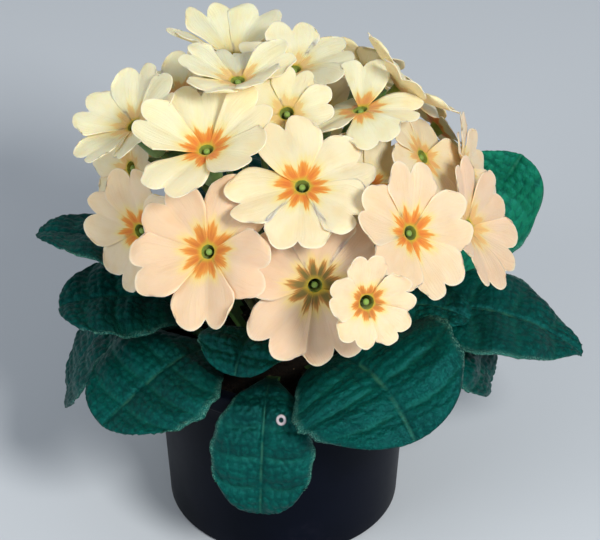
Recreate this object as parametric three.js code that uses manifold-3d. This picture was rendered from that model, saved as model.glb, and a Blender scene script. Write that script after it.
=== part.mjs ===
// A potted primrose in full flower: a plastic nursery pot, its soil, a rosette of quilted leaves,
// and a dome of notched five-petalled blooms, each on its own stalk from the crown.
// Millimetres, +Z up. The origin is the centre of the pot's base, and -Y is the front.
import * as THREE from 'three';
import { mergeVertices } from 'three/addons/utils/BufferGeometryUtils.js';
import Module from 'manifold-3d';

const wasm = await Module();
wasm.setup();

// Pieces that touch keep this gap.
const GAP = 0.3;

const POT = {
  height: 85, baseRadius: 48, topRadius: 52.5, wall: 1.6, floor: 2.4, foot: 1.5,
  lipRadius: 55, lipHeight: 9, lipEdge: 1, sides: 36,
  drains: 6, drainRadius: 4, drainRing: 34, drainSides: 8,
};
const SOIL = { rimLevel: 76, crownLevel: 80, sides: 24, rings: 2, lump: 0.8 };
const CROWN = { radius: 9, top: 89, depth: 8, sides: 10, shoulder: 4 };
const STALK = { radius: 1.5, steps: 3, rootRing: 6.5 };
const CALYX = {
  length: 12, footRadius: 3.9, radius: 4.4, floorRadius: 3.1, wall: 0.9, tooth: 4.5, floor: 2, taper: 3,
};
const PISTIL = { styleRadius: 0.6, stigmaRadius: 1.3, stigmaDepth: 1 };
const TUBE = { radius: 1.8, throat: 2.8, length: 13 };
const DOME = { centre: new THREE.Vector3(7, 0, 126), radius: 76 };
const PETAL = {
  count: 5, thickness: 0.6, halfWidth: 0.42, baseShare: 0.34, tipShare: 0.86, widestAt: 0.8,
  notch: 0.17, notchWidth: 0.26, shoulder: 0.22, twist: 0.9, camber: 0.1, stray: 4, seam: 2.5,
};
const LEAF = {
  thickness: 0.8, ribThickness: 1.8, rootSink: 5, petioleShare: 0.24,
  petioleHalfWidth: 2.4, petioleThickness: 3, petioleEdge: 1.6,
  sideVeins: 5, pucker: 1, wave: 1.2, tooth: 0.03, trough: 0.16,
};

const COLOURS = { pot: 0x17131f, soil: 0x2b1d14, stalk: 0x6f9a4a, petal: 0xfbeecb, leaf: 0x12543f };

// Each bloom's place on the dome: its bearing from the front towards the right, and its tilt from the
// top, in degrees. Options: span across the petals, lift off the dome, roll of the first petal from
// uphill, how far the petals stand up at the throat (open) and turn on by the tip (curl), and how far
// the face nods and yaws from the dome's own slope. A bloom seen plainly also has its petals' own
// opens, and how far each is fanned aside from an even fifth.
const BLOOMS = [
  bloom(-48, 36, {
    span: 62, lift: 7, roll: 46, curl: -6, nod: -22, yaw: 7,
    opens: [16, 33, 12, 26, 29], fan: [-2, -6, -5, 10, 2],
  }),
  bloom(1, 39, {
    span: 60, lift: 4, roll: 20, nod: -14, opens: [11, 3, 8, 17, -4], fan: [-5, 12, 11, -5, -7],
  }),
  bloom(-30, 61, {
    span: 63, lift: 5, roll: -14, curl: -12, nod: -10, yaw: -3,
    opens: [0, 8, 23, 12, 18], fan: [0, 7, -5, 1, -2],
  }),
  bloom(5, 68, {
    span: 64, lift: -4, roll: -17, curl: -12, nod: 3, yaw: 7,
    opens: [10, 10, 12, 7, 4], fan: [6, 0, 7, -7, 26],
  }),
  bloom(15, 68, {
    span: 38, lift: 29, roll: -5, curl: 10, nod: -4, yaw: 7,
    opens: [6, 17, 15, 11, 18], fan: [-3, 1, 4, 3, -8],
  }),
  bloom(34, 57, {
    span: 56, lift: 14, roll: -28, nod: -4, yaw: 11, opens: [14, 13, 22, 11, 11], fan: [2, 1, -2, -1, -2],
  }),
  bloom(65, 20, {
    span: 50, lift: 0, roll: -81, curl: -8, nod: -33, yaw: -6,
    opens: [31, -13, 5, -10, -4], fan: [13, -15, 0, 4, -6],
  }),
  bloom(-78, 17, {
    span: 50, lift: 9, roll: 69, curl: -4, nod: -15, yaw: 9,
    opens: [-5, 26, 22, 36, 24], fan: [5, -4, -1, 0, 0],
  }),
  bloom(-84, 47, { span: 53, lift: 14, roll: 57, curl: -8, nod: -11, yaw: 8, opens: [20, 29, 23, 23, 22] }),
  bloom(-97, 66, { span: 46, lift: -1, roll: 20, open: 12, nod: 6, yaw: 40 }),
  bloom(-78, 77, { span: 54, lift: -9, roll: 20, open: 8, curl: -12, yaw: 40 }),
  bloom(72, 44, { span: 50, lift: -3, roll: -71, curl: -8, nod: 6, yaw: 4, opens: [-5, 6, 6, 6, 6] }),
  bloom(94, 63, { span: 46, lift: -2, roll: -33, curl: -8, nod: 6, yaw: -6, open: 20 }),
  bloom(65, 68, {
    span: 57, lift: 3, roll: -84, nod: -3, yaw: 9, opens: [16, 18, 17, 23, 21], fan: [-8, 0, -1, 2, 5],
  }),
  bloom(-147, 38, {
    span: 59, lift: 4, roll: -156, curl: -8, nod: -23, yaw: -20,
    opens: [38, 34, 8, 10, 34], fan: [-6, -2, 6, -1, 7],
  }),
  bloom(-18, 13, { span: 40, lift: -1, roll: 2, open: 12, curl: -8, nod: 14 }),
  bloom(100, 30, {
    span: 52, lift: 4, roll: -102, nod: 24, yaw: 14, opens: [14, 18, 20, 28, 18], fan: [-17, 1, 1, 0, 13],
  }),
  bloom(-110, 41, { span: 50, lift: 2, roll: 4, open: 26, curl: -12, nod: -8, yaw: 16 }),
  bloom(176, 38, { span: 50, lift: -8, roll: 25, open: 14, curl: -14, nod: 3 }),
  bloom(-128, 74, { span: 50, lift: -2, roll: 5, open: 12, curl: -14 }),
  bloom(122, 64, { span: 46, lift: -2, roll: 0, open: 10, curl: -16 }),
  bloom(-158, 60, { span: 50, lift: 2, roll: 0, open: 10, curl: -14 }),
  bloom(156, 60, { span: 48, lift: 3, roll: 30, open: 10, curl: -14 }),
  bloom(172, 80, { span: 48, lift: 0, roll: 30, open: 10, curl: -14 }),
  bloom(40, 40, { span: 48, lift: -14, roll: 22, open: 14, curl: -12, nod: 9, yaw: -12 }),
  bloom(-172, 14, { span: 50, lift: -2, roll: 30, open: 20, curl: -12, nod: -14 }),
];

// Each leaf's bearing, how far from the pot's axis and how high its tip lies, and its half width.
// Options: the midrib's slope in degrees at the root (rise) and at the tip (fall), how far its bearing
// at the root differs (swing), how far the blade rolls about its midrib, how narrow its tip is, and how
// sharp (point, from 0.5 for round to 1 for sharp).
const LEAVES = [
  leaf(-101, 103, 117, 21, { ring: 13, rise: 66, fall: -10, roll: 10 }),
  leaf(-88, 92, 96, 26, { ring: 18, rise: 54, fall: -20 }),
  leaf(-88, 90, 48, 24, { ring: 23, rise: 38, fall: -80, bow: 0.6 }),
  leaf(-52, 92, 76, 31, { ring: 18, rise: 50, fall: -26, bow: 0.5, widest: 0.6 }),
  leaf(-7, 74, 44, 21, { ring: 23, rise: 44, fall: -82, bow: 0.7 }),
  leaf(-20, 56, 98, 20, { ring: 13, rise: 66, fall: -60, bow: 0.5 }),
  leaf(33, 96, 87, 37, { ring: 18, rise: 46, fall: -42, roll: 24, swing: 5, bow: 0.5, widest: 0.6 }),
  leaf(78, 78, 99, 14, { ring: 13, rise: 60, fall: -30, swing: 14, roll: 8 }),
  leaf(80, 87, 65, 27, { ring: 23, rise: 35, fall: -74, bow: 0.6 }),
  leaf(85, 124, 77, 27, { ring: 18, roll: 4, rise: 46, fall: -44, widest: 0.6, tip: 0.4, point: 1 }),
  leaf(114, 108, 139, 27, { ring: 13, rise: 61, fall: 60, roll: 65 }),
  leaf(128, 98, 92, 24, { ring: 23, rise: 44, fall: -20 }),
  leaf(158, 98, 104, 25, { ring: 18, rise: 56, fall: -10 }),
  leaf(175, 92, 74, 24, { ring: 23, rise: 42, fall: -50 }),
  leaf(-160, 96, 114, 23, { ring: 13, rise: 64, fall: 0 }),
  leaf(-138, 98, 90, 25, { ring: 23, rise: 44, fall: -20 }),
  leaf(-124, 90, 106, 22, { ring: 18, rise: 58, fall: -6 }),
];

function bloom(bearing, tilt, options) {
  const usual = { span: 50, lift: 0, roll: 0, open: 10, curl: -10, nod: 0, yaw: 0, fan: [0, 0, 0, 0, 0] };
  const stray = (k) => PETAL.stray * Math.sin(1.7 * bearing + 2.3 * tilt + 2.1 * k);
  const opens = [0, 1, 2, 3, 4].map((k) => (options.open ?? usual.open) + stray(k));
  return { bearing, tilt, ...usual, opens, ...options };
}

function leaf(bearing, reach, height, halfWidth, options) {
  const usual = {
    ring: 21, rise: 60, fall: -20, bow: 0.4, swing: 0, roll: 0, widest: 0.68, tip: 0.8, point: 0.5,
  };
  return { bearing, reach, height, halfWidth, ...usual, ...options };
}

const radians = THREE.MathUtils.degToRad;
const ramp = (low, high, x) => THREE.MathUtils.smoothstep(x, low, high);
const circle = (count, make) => Array.from({ length: count }, (_, i) => make((i / count) * 2 * Math.PI, i));

// The direction at a bearing from the front and a tilt from straight up.
function direction(bearing, tilt) {
  const b = radians(bearing);
  const t = radians(tilt);
  return new THREE.Vector3(Math.sin(t) * Math.sin(b), -Math.sin(t) * Math.cos(b), Math.cos(t));
}

function geometryOf(points, faces) {
  const geometry = new THREE.BufferGeometry().setFromPoints(points);
  geometry.setIndex(faces.flat());
  geometry.computeVertexNormals();
  return geometry;
}

function vertexNormals(points, faces) {
  const normals = points.map(() => new THREE.Vector3());
  for (const [a, b, c] of faces) {
    const face = points[b].clone().sub(points[a]).cross(points[c].clone().sub(points[a]));
    for (const corner of [a, b, c]) normals[corner].add(face);
  }
  return normals.map((n) => n.normalize());
}

// A closed body from a sheet's points and outward faces: the sheet, a copy of it pushed in by each
// point's depth, and a wall round its edges.
function thicken(points, depths, faces) {
  const normals = vertexNormals(points, faces);
  const under = points.map((p, i) => p.clone().addScaledVector(normals[i], -depths[i]));
  const count = points.length;
  const walls = [];
  const edges = new Set(faces.flatMap(([a, b, c]) => [`${a},${b}`, `${b},${c}`, `${c},${a}`]));
  for (const edge of edges) {
    const [a, b] = edge.split(',').map(Number);
    if (!edges.has(`${b},${a}`)) walls.push([b, a, a + count], [b, a + count, b + count]);
  }
  const back = faces.map(([a, b, c]) => [c + count, b + count, a + count]);
  return geometryOf([...points, ...under], [...faces, ...back, ...walls]);
}

// A turned body about +Z from [radius, height] pairs, bottom first, that start and end on the axis.
function turned(profile, sides) {
  const outline = profile.map(([r, z]) => new THREE.Vector2(r, z));
  return new THREE.LatheGeometry(outline, sides).rotateX(Math.PI / 2);
}

// A closed body through rings of points that run anticlockwise seen from the last one. Next to a ring
// with twice its points, a ring's own points meet every second one.
function loft(rings) {
  const points = [];
  const numbers = rings.map((ring) => ring.map((p) => points.push(p) - 1));
  const faces = [];
  for (let i = 0; i + 1 < rings.length; i += 1) {
    const [low, high] = [numbers[i], numbers[i + 1]];
    const sides = Math.min(low.length, high.length);
    for (let j = 0; j < sides; j += 1) {
      const next = (j + 1) % sides;
      if (low.length === high.length) {
        faces.push([low[j], low[next], high[next]], [low[j], high[next], high[j]]);
      } else if (low.length < high.length) {
        const middle = high[2 * j + 1];
        faces.push([low[j], low[next], middle], [low[j], middle, high[2 * j]]);
        faces.push([low[next], high[2 * next], middle]);
      } else {
        const middle = low[2 * j + 1];
        faces.push([high[next], high[j], middle], [middle, high[j], low[2 * j]]);
        faces.push([middle, low[2 * next], high[next]]);
      }
    }
  }
  const [first, last] = [numbers[0], numbers.at(-1)];
  for (let j = 1; j + 1 < first.length; j += 1) faces.push([first[0], first[j + 1], first[j]]);
  for (let j = 1; j + 1 < last.length; j += 1) faces.push([last[0], last[j], last[j + 1]]);
  return geometryOf(points, faces);
}

// Joining and cutting.
function solidOf(geometry) {
  const bare = geometry.toNonIndexed();
  for (const name of ['normal', 'uv']) bare.deleteAttribute(name);
  const merged = mergeVertices(bare, 1e-3);
  return new wasm.Manifold(new wasm.Mesh({
    numProp: 3,
    vertProperties: merged.attributes.position.array,
    triVerts: new Uint32Array(merged.index.array),
  }));
}

function geometryOfSolid(solid) {
  const { vertProperties, triVerts } = solid.getMesh();
  const geometry = new THREE.BufferGeometry();
  geometry.setAttribute('position', new THREE.BufferAttribute(vertProperties, 3));
  geometry.setIndex(new THREE.BufferAttribute(triVerts, 1));
  geometry.computeVertexNormals();
  return geometry;
}

function join(geometries) {
  return geometryOfSolid(geometries.map(solidOf).reduce((whole, next) => whole.add(next)));
}

function cut(geometry, tools) {
  return geometryOfSolid(tools.map(solidOf).reduce((whole, tool) => whole.subtract(tool), solidOf(geometry)));
}

// The pot: a tapered shell with a rolled lip, and drain holes round the middle of its floor.
function makePot() {
  const { height, baseRadius, topRadius, wall, floor, foot, lipRadius, lipHeight, lipEdge, sides } = POT;
  const lipFoot = height - lipHeight;
  const shell = turned([
    [0, 0], [baseRadius - foot, 0], [baseRadius, foot], [topRadius, lipFoot],
    [lipRadius - lipEdge, lipFoot], [lipRadius, lipFoot + lipEdge], [lipRadius, height - lipEdge],
    [lipRadius - lipEdge, height], [topRadius - wall, height], [baseRadius - wall, floor], [0, floor],
  ], sides);
  const drains = circle(POT.drains, (angle) => (
    new THREE.CylinderGeometry(POT.drainRadius, POT.drainRadius, 4 * floor, POT.drainSides)
      .rotateX(Math.PI / 2)
      .translate(POT.drainRing * Math.cos(angle), POT.drainRing * Math.sin(angle), 0)));
  return cut(shell, drains);
}

// The soil falls from the crown to the pot's wall, with low lumps.
function soilHeight(radius, angle) {
  const outwards = ramp(CROWN.radius, POT.topRadius, radius);
  const level = THREE.MathUtils.lerp(SOIL.crownLevel, SOIL.rimLevel, outwards);
  const lumps = Math.sin(5 * angle + radius) * Math.cos(3 * angle - 0.35 * radius);
  return level + SOIL.lump * lumps * ramp(0, CROWN.radius, radius);
}

function soilRadius(height) {
  const share = (height - POT.floor) / (POT.height - POT.floor);
  return THREE.MathUtils.lerp(POT.baseRadius, POT.topRadius, share) - POT.wall - GAP;
}

function makeSoil(holes) {
  const { sides, rings, rimLevel, crownLevel } = SOIL;
  const bottom = POT.floor + GAP;
  const edge = soilRadius(rimLevel);
  const at = (radius, angle, height) => (
    new THREE.Vector3(radius * Math.cos(angle), radius * Math.sin(angle), height));
  const points = [at(0, 0, crownLevel)];
  for (let ring = 1; ring < rings; ring += 1) {
    const radius = (edge * ring) / rings;
    points.push(...circle(sides, (angle) => at(radius, angle, soilHeight(radius, angle))));
  }
  points.push(...circle(sides, (angle) => at(edge, angle, rimLevel)));
  points.push(...circle(sides, (angle) => at(soilRadius(bottom), angle, bottom)));
  points.push(at(0, 0, bottom));
  const faces = [];
  for (let j = 0; j < sides; j += 1) {
    const next = (j + 1) % sides;
    const base = 1 + rings * sides;
    faces.push([0, 1 + j, 1 + next], [base + j, points.length - 1, base + next]);
    for (let ring = 0; ring < rings; ring += 1) {
      const [inner, outer] = [1 + ring * sides, 1 + (ring + 1) * sides];
      faces.push([inner + j, outer + j, outer + next], [inner + j, outer + next, inner + next]);
    }
  }
  return cut(geometryOf(points, faces), holes);
}

// A bloom's own frame has its throat at the origin and faces +z, with +x uphill on the dome.
function bloomFrame(b) {
  const faces = direction(b.bearing + b.yaw, b.tilt + b.nod);
  const uphill = direction(b.bearing + b.yaw, b.tilt + b.nod - 90);
  const side = faces.clone().cross(uphill);
  const throat = DOME.centre.clone().addScaledVector(direction(b.bearing, b.tilt), DOME.radius + b.lift);
  const at = (x, y, z) => (
    throat.clone().addScaledVector(uphill, x).addScaledVector(side, y).addScaledVector(faces, z));
  const turn = (k) => radians(b.roll + (k / PETAL.count) * 360);
  const spoke = (radius, k, z) => at(radius * Math.cos(turn(k)), radius * Math.sin(turn(k)), z);
  return { faces, side, at, turn, spoke };
}

// How wide a petal may be on one side at a distance from the bloom's axis, to clear its neighbour.
function petalRoom(b, k, side, distance) {
  const neighbour = (k + side + PETAL.count) % PETAL.count;
  const even = 180 / PETAL.count - PETAL.seam;
  return distance * Math.tan(radians(even + (side * (b.fan[neighbour] - b.fan[k])) / 2));
}

// A petal's half width at a share of its length, as a share of the widest.
function petalWidth(along) {
  const swell = Math.sin((Math.PI / 2) * Math.min(1, along / PETAL.widestAt)) ** 1.2;
  const taper = (1 - PETAL.tipShare) * ramp(PETAL.widestAt, 1, along);
  return PETAL.baseShare + (1 - PETAL.baseShare) * swell - taper;
}

// A point on petal k: along runs from 0 at the throat to 1 at the tip, across from -1 to 1.
function petalPoint(b, frame, k, along, across) {
  const notch = PETAL.notch * Math.exp(-((across / PETAL.notchWidth) ** 2));
  const share = along * (1 - notch - PETAL.shoulder * Math.abs(across) ** 3);
  const open = radians(b.opens[k]);
  const curl = radians(b.curl) * share;
  const length = (b.span / 2 - TUBE.throat) * share;
  const distance = TUBE.throat * Math.cos(Math.PI / PETAL.count) + length * Math.cos(open + curl / 2);
  const halfWidth = Math.min(
    PETAL.halfWidth * (b.span / 2) * petalWidth(along),
    petalRoom(b, k, Math.sign(across), distance),
  );
  const raise = PETAL.twist * across * ramp(0.1, 0.45, along) + PETAL.camber * halfWidth * across ** 2;
  const x = distance - raise * Math.sin(open + curl);
  const y = halfWidth * across;
  const z = length * Math.sin(open + curl / 2) + raise * Math.cos(open + curl);
  const turn = frame.turn(k) + radians(b.fan[k]);
  return frame.at(x * Math.cos(turn) - y * Math.sin(turn), x * Math.sin(turn) + y * Math.cos(turn), z);
}

// A corolla: a five-sided tube that opens into five notched petals.
function makeCorolla(b) {
  const frame = bloomFrame(b);
  const points = [];
  const faces = [];
  const addRow = (row) => row.map((p) => points.push(p) - 1);
  const corners = circle(PETAL.count, (_, k) => k);
  const low = addRow(corners.map((k) => frame.spoke(TUBE.radius, k - 0.5, -TUBE.length)));
  const throat = addRow(corners.map((k) => frame.spoke(TUBE.throat, k - 0.5, 0)));
  for (const k of corners) {
    const next = (k + 1) % PETAL.count;
    faces.push([low[k], throat[k], throat[next]], [low[k], throat[next], low[next]]);
    const petalRow = (along, acrosses) => (
      addRow(acrosses.map((across) => petalPoint(b, frame, k, along, across))));
    const near = petalRow(0.42, [-1, 0, 1]);
    const wide = petalRow(0.8, [-1, 0, 1]);
    const tip = petalRow(1, [-1, -0.68, -0.3, 0, 0.3, 0.68, 1]);
    faces.push([throat[k], near[0], near[1]], [throat[k], near[1], throat[next]]);
    faces.push([throat[next], near[1], near[2]]);
    faces.push([near[0], wide[0], wide[1]], [near[0], wide[1], near[1]]);
    faces.push([near[1], wide[1], near[2]], [near[2], wide[1], wide[2]]);
    faces.push([wide[0], tip[0], tip[1]], [wide[0], tip[1], wide[1]], [wide[1], tip[1], tip[2]]);
    faces.push([wide[1], tip[2], tip[3]], [wide[1], tip[3], tip[4]], [wide[1], tip[4], tip[5]]);
    faces.push([wide[1], tip[5], wide[2]], [wide[2], tip[5], tip[6]]);
  }
  return thicken(points, points.map(() => PETAL.thickness), faces);
}

// The rings of a stalk from the crown up and out to its foot under the calyx, where it is level with
// the bloom's face.
function stalkRings(b, frame, foot) {
  const root = direction(b.bearing, 90).multiplyScalar(STALK.rootRing * Math.sin(radians(b.tilt)));
  root.z = CROWN.top - CROWN.shoulder;
  const third = foot.distanceTo(root) / 3;
  const line = new THREE.CubicBezierCurve3(
    root,
    root.clone().addScaledVector(direction(b.bearing, 0.45 * b.tilt), third),
    foot.clone().addScaledVector(frame.faces, -third),
    foot,
  );
  const rings = [];
  for (let i = 0; i <= STALK.steps; i += 1) {
    const centre = line.getPoint(i / STALK.steps);
    const ahead = line.getTangent(i / STALK.steps);
    const across = frame.side.clone().addScaledVector(ahead, -frame.side.dot(ahead)).normalize();
    const over = across.clone().cross(ahead);
    rings.push(circle(PETAL.count, (_, k) => centre.clone()
      .addScaledVector(over, STALK.radius * Math.cos(frame.turn(k + 0.5)))
      .addScaledVector(across, STALK.radius * Math.sin(frame.turn(k + 0.5)))));
  }
  return rings;
}

// A stalk with its calyx and pistil: up the stalk, out and up the five-toothed cup round the bloom's
// tube, over its rim and down to its floor, then up the pistil to the round stigma in the throat. The
// teeth stand between the petals.
function makeStem(b) {
  const frame = bloomFrame(b);
  const { length, footRadius, radius, floorRadius, wall, tooth, floor, taper } = CALYX;
  const { styleRadius, stigmaRadius, stigmaDepth } = PISTIL;
  const halves = [0.5, 1.5, 2.5, 3.5, 4.5];
  const ring = (r, z) => halves.map((k) => frame.spoke(r, k, z));
  const teeth = (r, high, low) => (
    halves.flatMap((k) => [frame.spoke(r, k, high), frame.spoke(r, k + 0.5, low)]));
  const inside = -TUBE.length - GAP;
  const foot = inside - floor;
  const lip = foot + length - tooth;
  return loft([
    ...stalkRings(b, frame, frame.at(0, 0, foot - taper)),
    ring(footRadius, foot),
    teeth(radius, lip + tooth, lip),
    teeth(radius - wall, lip, lip - 1),
    ring(floorRadius, inside),
    ring(styleRadius, inside),
    ring(styleRadius, -stigmaDepth - stigmaRadius),
    ring(stigmaRadius, -stigmaDepth),
  ]);
}

function crownBody(grow) {
  const { radius, top, depth, shoulder, sides } = CROWN;
  const bottom = SOIL.crownLevel - depth - grow;
  return turned([
    [0, bottom], [radius - 2 + grow, bottom], [radius + grow, bottom + 3],
    [radius + grow, top - shoulder], [radius - 2, top], [0, top],
  ], sides);
}

function makeStalks() {
  return join([crownBody(0), ...BLOOMS.map(makeStem)]);
}

// A leaf's midrib, from its root just under the soil to its tip.
function midrib(l) {
  const root = direction(l.bearing - l.swing, 90).multiplyScalar(l.ring);
  root.z = soilHeight(l.ring, 0) - LEAF.rootSink;
  const tip = direction(l.bearing, 90).multiplyScalar(l.reach).setZ(l.height);
  const handle = l.bow * tip.distanceTo(root);
  return new THREE.CubicBezierCurve3(
    root,
    root.clone().addScaledVector(direction(l.bearing - l.swing, 90 - l.rise), handle),
    tip.clone().addScaledVector(direction(l.bearing, 90 - l.fall), -handle),
    tip,
  );
}

// How far along the midrib the blade's edge reaches at a share across it, so that the tip is round.
function leafReach(l, across) {
  return l.widest + (1 - l.widest) * Math.sqrt(1 - (l.tip * across) ** 2);
}

// A leaf's half width along its edge: a winged stalk that broadens into a spoon-shaped blade.
function leafHalfWidth(l, along) {
  const s = along * leafReach(l, 1);
  const { petioleShare, petioleHalfWidth } = LEAF;
  if (s < l.widest) {
    const opened = Math.max(0, (s - petioleShare) / (l.widest - petioleShare));
    const swell = Math.sin((Math.PI / 2) * opened) ** 1.2;
    return petioleHalfWidth + (l.halfWidth - petioleHalfWidth) * swell;
  }
  return l.halfWidth * (1 - ((s - l.widest) / (1 - l.widest)) ** 2) ** l.point;
}

// The midrib's place, with the blade's sideways and upward directions there.
function leafFrame(l, line, s) {
  const place = line.getPointAt(s);
  const ahead = line.getTangentAt(s);
  const level = direction(l.bearing + 90, 90);
  const over = ahead.clone().cross(level).normalize();
  const roll = radians(l.roll) * ramp(0.15, 0.7, s);
  return {
    place,
    ahead,
    sideways: level.clone().multiplyScalar(Math.cos(roll)).addScaledVector(over, Math.sin(roll)),
    out: over.clone().multiplyScalar(Math.cos(roll)).addScaledVector(level, -Math.sin(roll)),
  };
}

// A point on a leaf's upper face: along runs from 0 at the root to 1 at the tip, across from -1 to 1.
function leafPoint(l, line, along, across) {
  const { place, sideways, out } = leafFrame(l, line, along * leafReach(l, across));
  const blade = ramp(LEAF.petioleShare, LEAF.petioleShare + 0.25, along);
  const outwards = (along - LEAF.petioleShare) / (1 - LEAF.petioleShare);
  const vein = Math.cos(2 * Math.PI * LEAF.sideVeins * outwards);
  const margin = across ** 4;
  const half = leafHalfWidth(l, along) * (1 + LEAF.tooth * vein * margin * blade);
  const quilt = -LEAF.pucker * vein * (1 - margin) * Math.abs(across) ** 0.5;
  const wave = LEAF.wave * margin * Math.sin(5 * Math.PI * along + l.bearing);
  const trough = LEAF.trough * half * Math.abs(across) * (1 - 1.3 * across ** 2);
  return place.addScaledVector(sideways, half * across).addScaledVector(out, blade * (quilt + wave + trough));
}

function leafDepth(along, across) {
  const middle = across === 0;
  const petiole = 1 - ramp(0.1, LEAF.petioleShare + 0.15, along);
  const stalk = middle ? LEAF.petioleThickness : LEAF.petioleEdge;
  const blade = middle ? THREE.MathUtils.lerp(LEAF.ribThickness, LEAF.thickness, along) : LEAF.thickness;
  return THREE.MathUtils.lerp(blade, stalk, petiole);
}

function makeLeaf(l) {
  const line = midrib(l);
  const acrosses = [-1, -0.5, 0, 0.5, 1];
  const alongs = [0, 0.16];
  for (let i = 0; i <= 2 * LEAF.sideVeins; i += 1) {
    alongs.push(LEAF.petioleShare + ((1 - LEAF.petioleShare) * i) / (2 * LEAF.sideVeins));
  }
  const points = alongs.flatMap((along) => acrosses.map((across) => leafPoint(l, line, along, across)));
  const depths = alongs.flatMap((along) => acrosses.map((across) => leafDepth(along, across)));
  const faces = [];
  const columns = acrosses.length;
  for (let i = 0; i + 1 < alongs.length; i += 1) {
    for (let j = 0; j + 1 < columns; j += 1) {
      const a = i * columns + j;
      const [b, c, d] = [a + 1, a + columns, a + columns + 1];
      faces.push(...(j < columns / 2 - 1 ? [[a, c, b], [b, c, d]] : [[a, c, d], [a, d, b]]));
    }
  }
  return thicken(points, depths, faces);
}

// The plain hole that a leaf's stalk stands in.
function petioleHole(l) {
  const line = midrib(l);
  const side = LEAF.petioleHalfWidth + 1.4 * GAP;
  const below = -LEAF.petioleThickness - 1.4 * GAP;
  return loft([0, 0.15, 0.24].map((s) => {
    const { place, ahead, sideways, out } = leafFrame(l, line, s);
    if (s === 0) place.addScaledVector(ahead, -4 * GAP);
    return [[side, below], [side, GAP], [-side, GAP], [-side, below]].map(([x, z]) => (
      place.clone().addScaledVector(sideways, x).addScaledVector(out, z)));
  }));
}

const primrose = new THREE.Group();

function add(name, geometry, color, roughness) {
  const mesh = new THREE.Mesh(geometry, new THREE.MeshStandardMaterial({ color, roughness, metalness: 0 }));
  mesh.name = name;
  primrose.add(mesh);
}

const numbered = (name, i) => `${name}_${String(i + 1).padStart(2, '0')}`;

add('pot', makePot(), COLOURS.pot, 0.45);
add('soil', makeSoil([crownBody(GAP), ...LEAVES.map(petioleHole)]), COLOURS.soil, 0.95);
add('flower_stalks', makeStalks(), COLOURS.stalk, 0.6);
BLOOMS.forEach((b, i) => add(numbered('bloom', i), makeCorolla(b), COLOURS.petal, 0.7));
LEAVES.forEach((l, i) => add(numbered('leaf', i), makeLeaf(l), COLOURS.leaf, 0.65));

export default primrose;
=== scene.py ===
# The visual model of the potted primrose: fine petals, leaves, stems, soil and pot over the packed
# solids, in the same frame, with their materials, a pale floor, soft light and the camera.
import math
from types import SimpleNamespace

import bpy
import numpy as np
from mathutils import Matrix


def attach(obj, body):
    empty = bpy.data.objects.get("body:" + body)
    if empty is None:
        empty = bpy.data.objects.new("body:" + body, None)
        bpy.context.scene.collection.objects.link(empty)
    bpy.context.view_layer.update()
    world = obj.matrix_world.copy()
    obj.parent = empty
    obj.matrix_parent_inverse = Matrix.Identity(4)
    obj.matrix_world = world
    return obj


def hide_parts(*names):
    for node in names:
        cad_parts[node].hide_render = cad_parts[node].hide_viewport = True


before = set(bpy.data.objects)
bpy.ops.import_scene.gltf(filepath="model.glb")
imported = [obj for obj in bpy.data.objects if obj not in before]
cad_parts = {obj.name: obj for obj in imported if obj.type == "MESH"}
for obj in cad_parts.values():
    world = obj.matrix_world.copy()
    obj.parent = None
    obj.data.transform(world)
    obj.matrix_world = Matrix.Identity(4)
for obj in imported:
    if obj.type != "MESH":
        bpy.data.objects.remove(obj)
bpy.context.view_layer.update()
MM = 0.001

# The part's own named values, in millimetres and degrees.
POT = SimpleNamespace(height=85, base=48, top=52.5, wall=1.6, floor=2.4, foot=1.5, lip=55, lip_height=9)
DRAIN = SimpleNamespace(count=6, radius=4, ring=34)
# The soil's heights at the rim and the crown, and how broad and how high its lumps and clods are.
SOIL = SimpleNamespace(
    rim=76, crown=80, lump=0.8, clod=3.0, clod_height=0.9, crumb=1.3, crumb_height=0.4, sink=0.6)
CROWN = SimpleNamespace(radius=9, top=89, depth=8, shoulder=4)
# A stalk leaves the crown at a share of its bloom's tilt, thicker at its foot and a little uneven.
STALK = SimpleNamespace(radius=1.5, root_ring=6.5, lean=0.45, swell=0.12, ripple=0.03)
CALYX = SimpleNamespace(
    length=12, foot=3.9, radius=4.4, floor_radius=3.1, wall=0.6, tooth=4.5, floor=2, taper=3,
    pleat=0.3, flare=0.5)
PISTIL = SimpleNamespace(stigma=1.3, depth=1)
TUBE = SimpleNamespace(radius=1.8, throat=2.8, length=13, flare=0.35)
DOME = SimpleNamespace(centre=np.array((7.0, 0.0, 126.0)), radius=76)
PETAL = SimpleNamespace(
    count=5, thickness=0.36, half_width=0.44, base=0.34, tip=0.86, widest=0.8,
    lobe=0.25, lobe_change=0.15, lobe_middle=0.47, lobe_stray=0.04, twist=0.9, camber=0.13,
    stray=4, lap=3.0)
# How far the forms of a petal's face stand up, on a bloom as wide as the span. The crease's width and
# the folds' place and width are shares of the petal's half width.
RELIEF = SimpleNamespace(
    span=60, crease=0.45, crease_width=0.09, fold=0.5, fold_place=0.45, fold_width=0.3,
    edge=0.7, middle=1.1, tip=0.9, rib=0.05, ribs=34)
LEAF = SimpleNamespace(
    thickness=0.55, rib=1.8, root_sink=5, petiole=0.24, petiole_half=2.4, petiole_thickness=3,
    petiole_edge=1.6, side_veins=5, pucker=1.0, wave=1.2, tooth=0.02, trough=0.16)
# The leaf's quilting: its cells' sizes, how far each form stands up or sinks in and how wide it is,
# with the margin's scallops.
QUILT = SimpleNamespace(
    cell=3.6, small_cell=1.9, puff=0.75, puff_reach=0.72, valley=0.3, pimple=0.2, pimple_reach=0.75,
    groove=0.5, groove_width=0.07, furrow=0.6, furrow_width=0.9, thread_width=0.34, frill=0.3,
    scallops=15, scallop=0.012)
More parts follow.
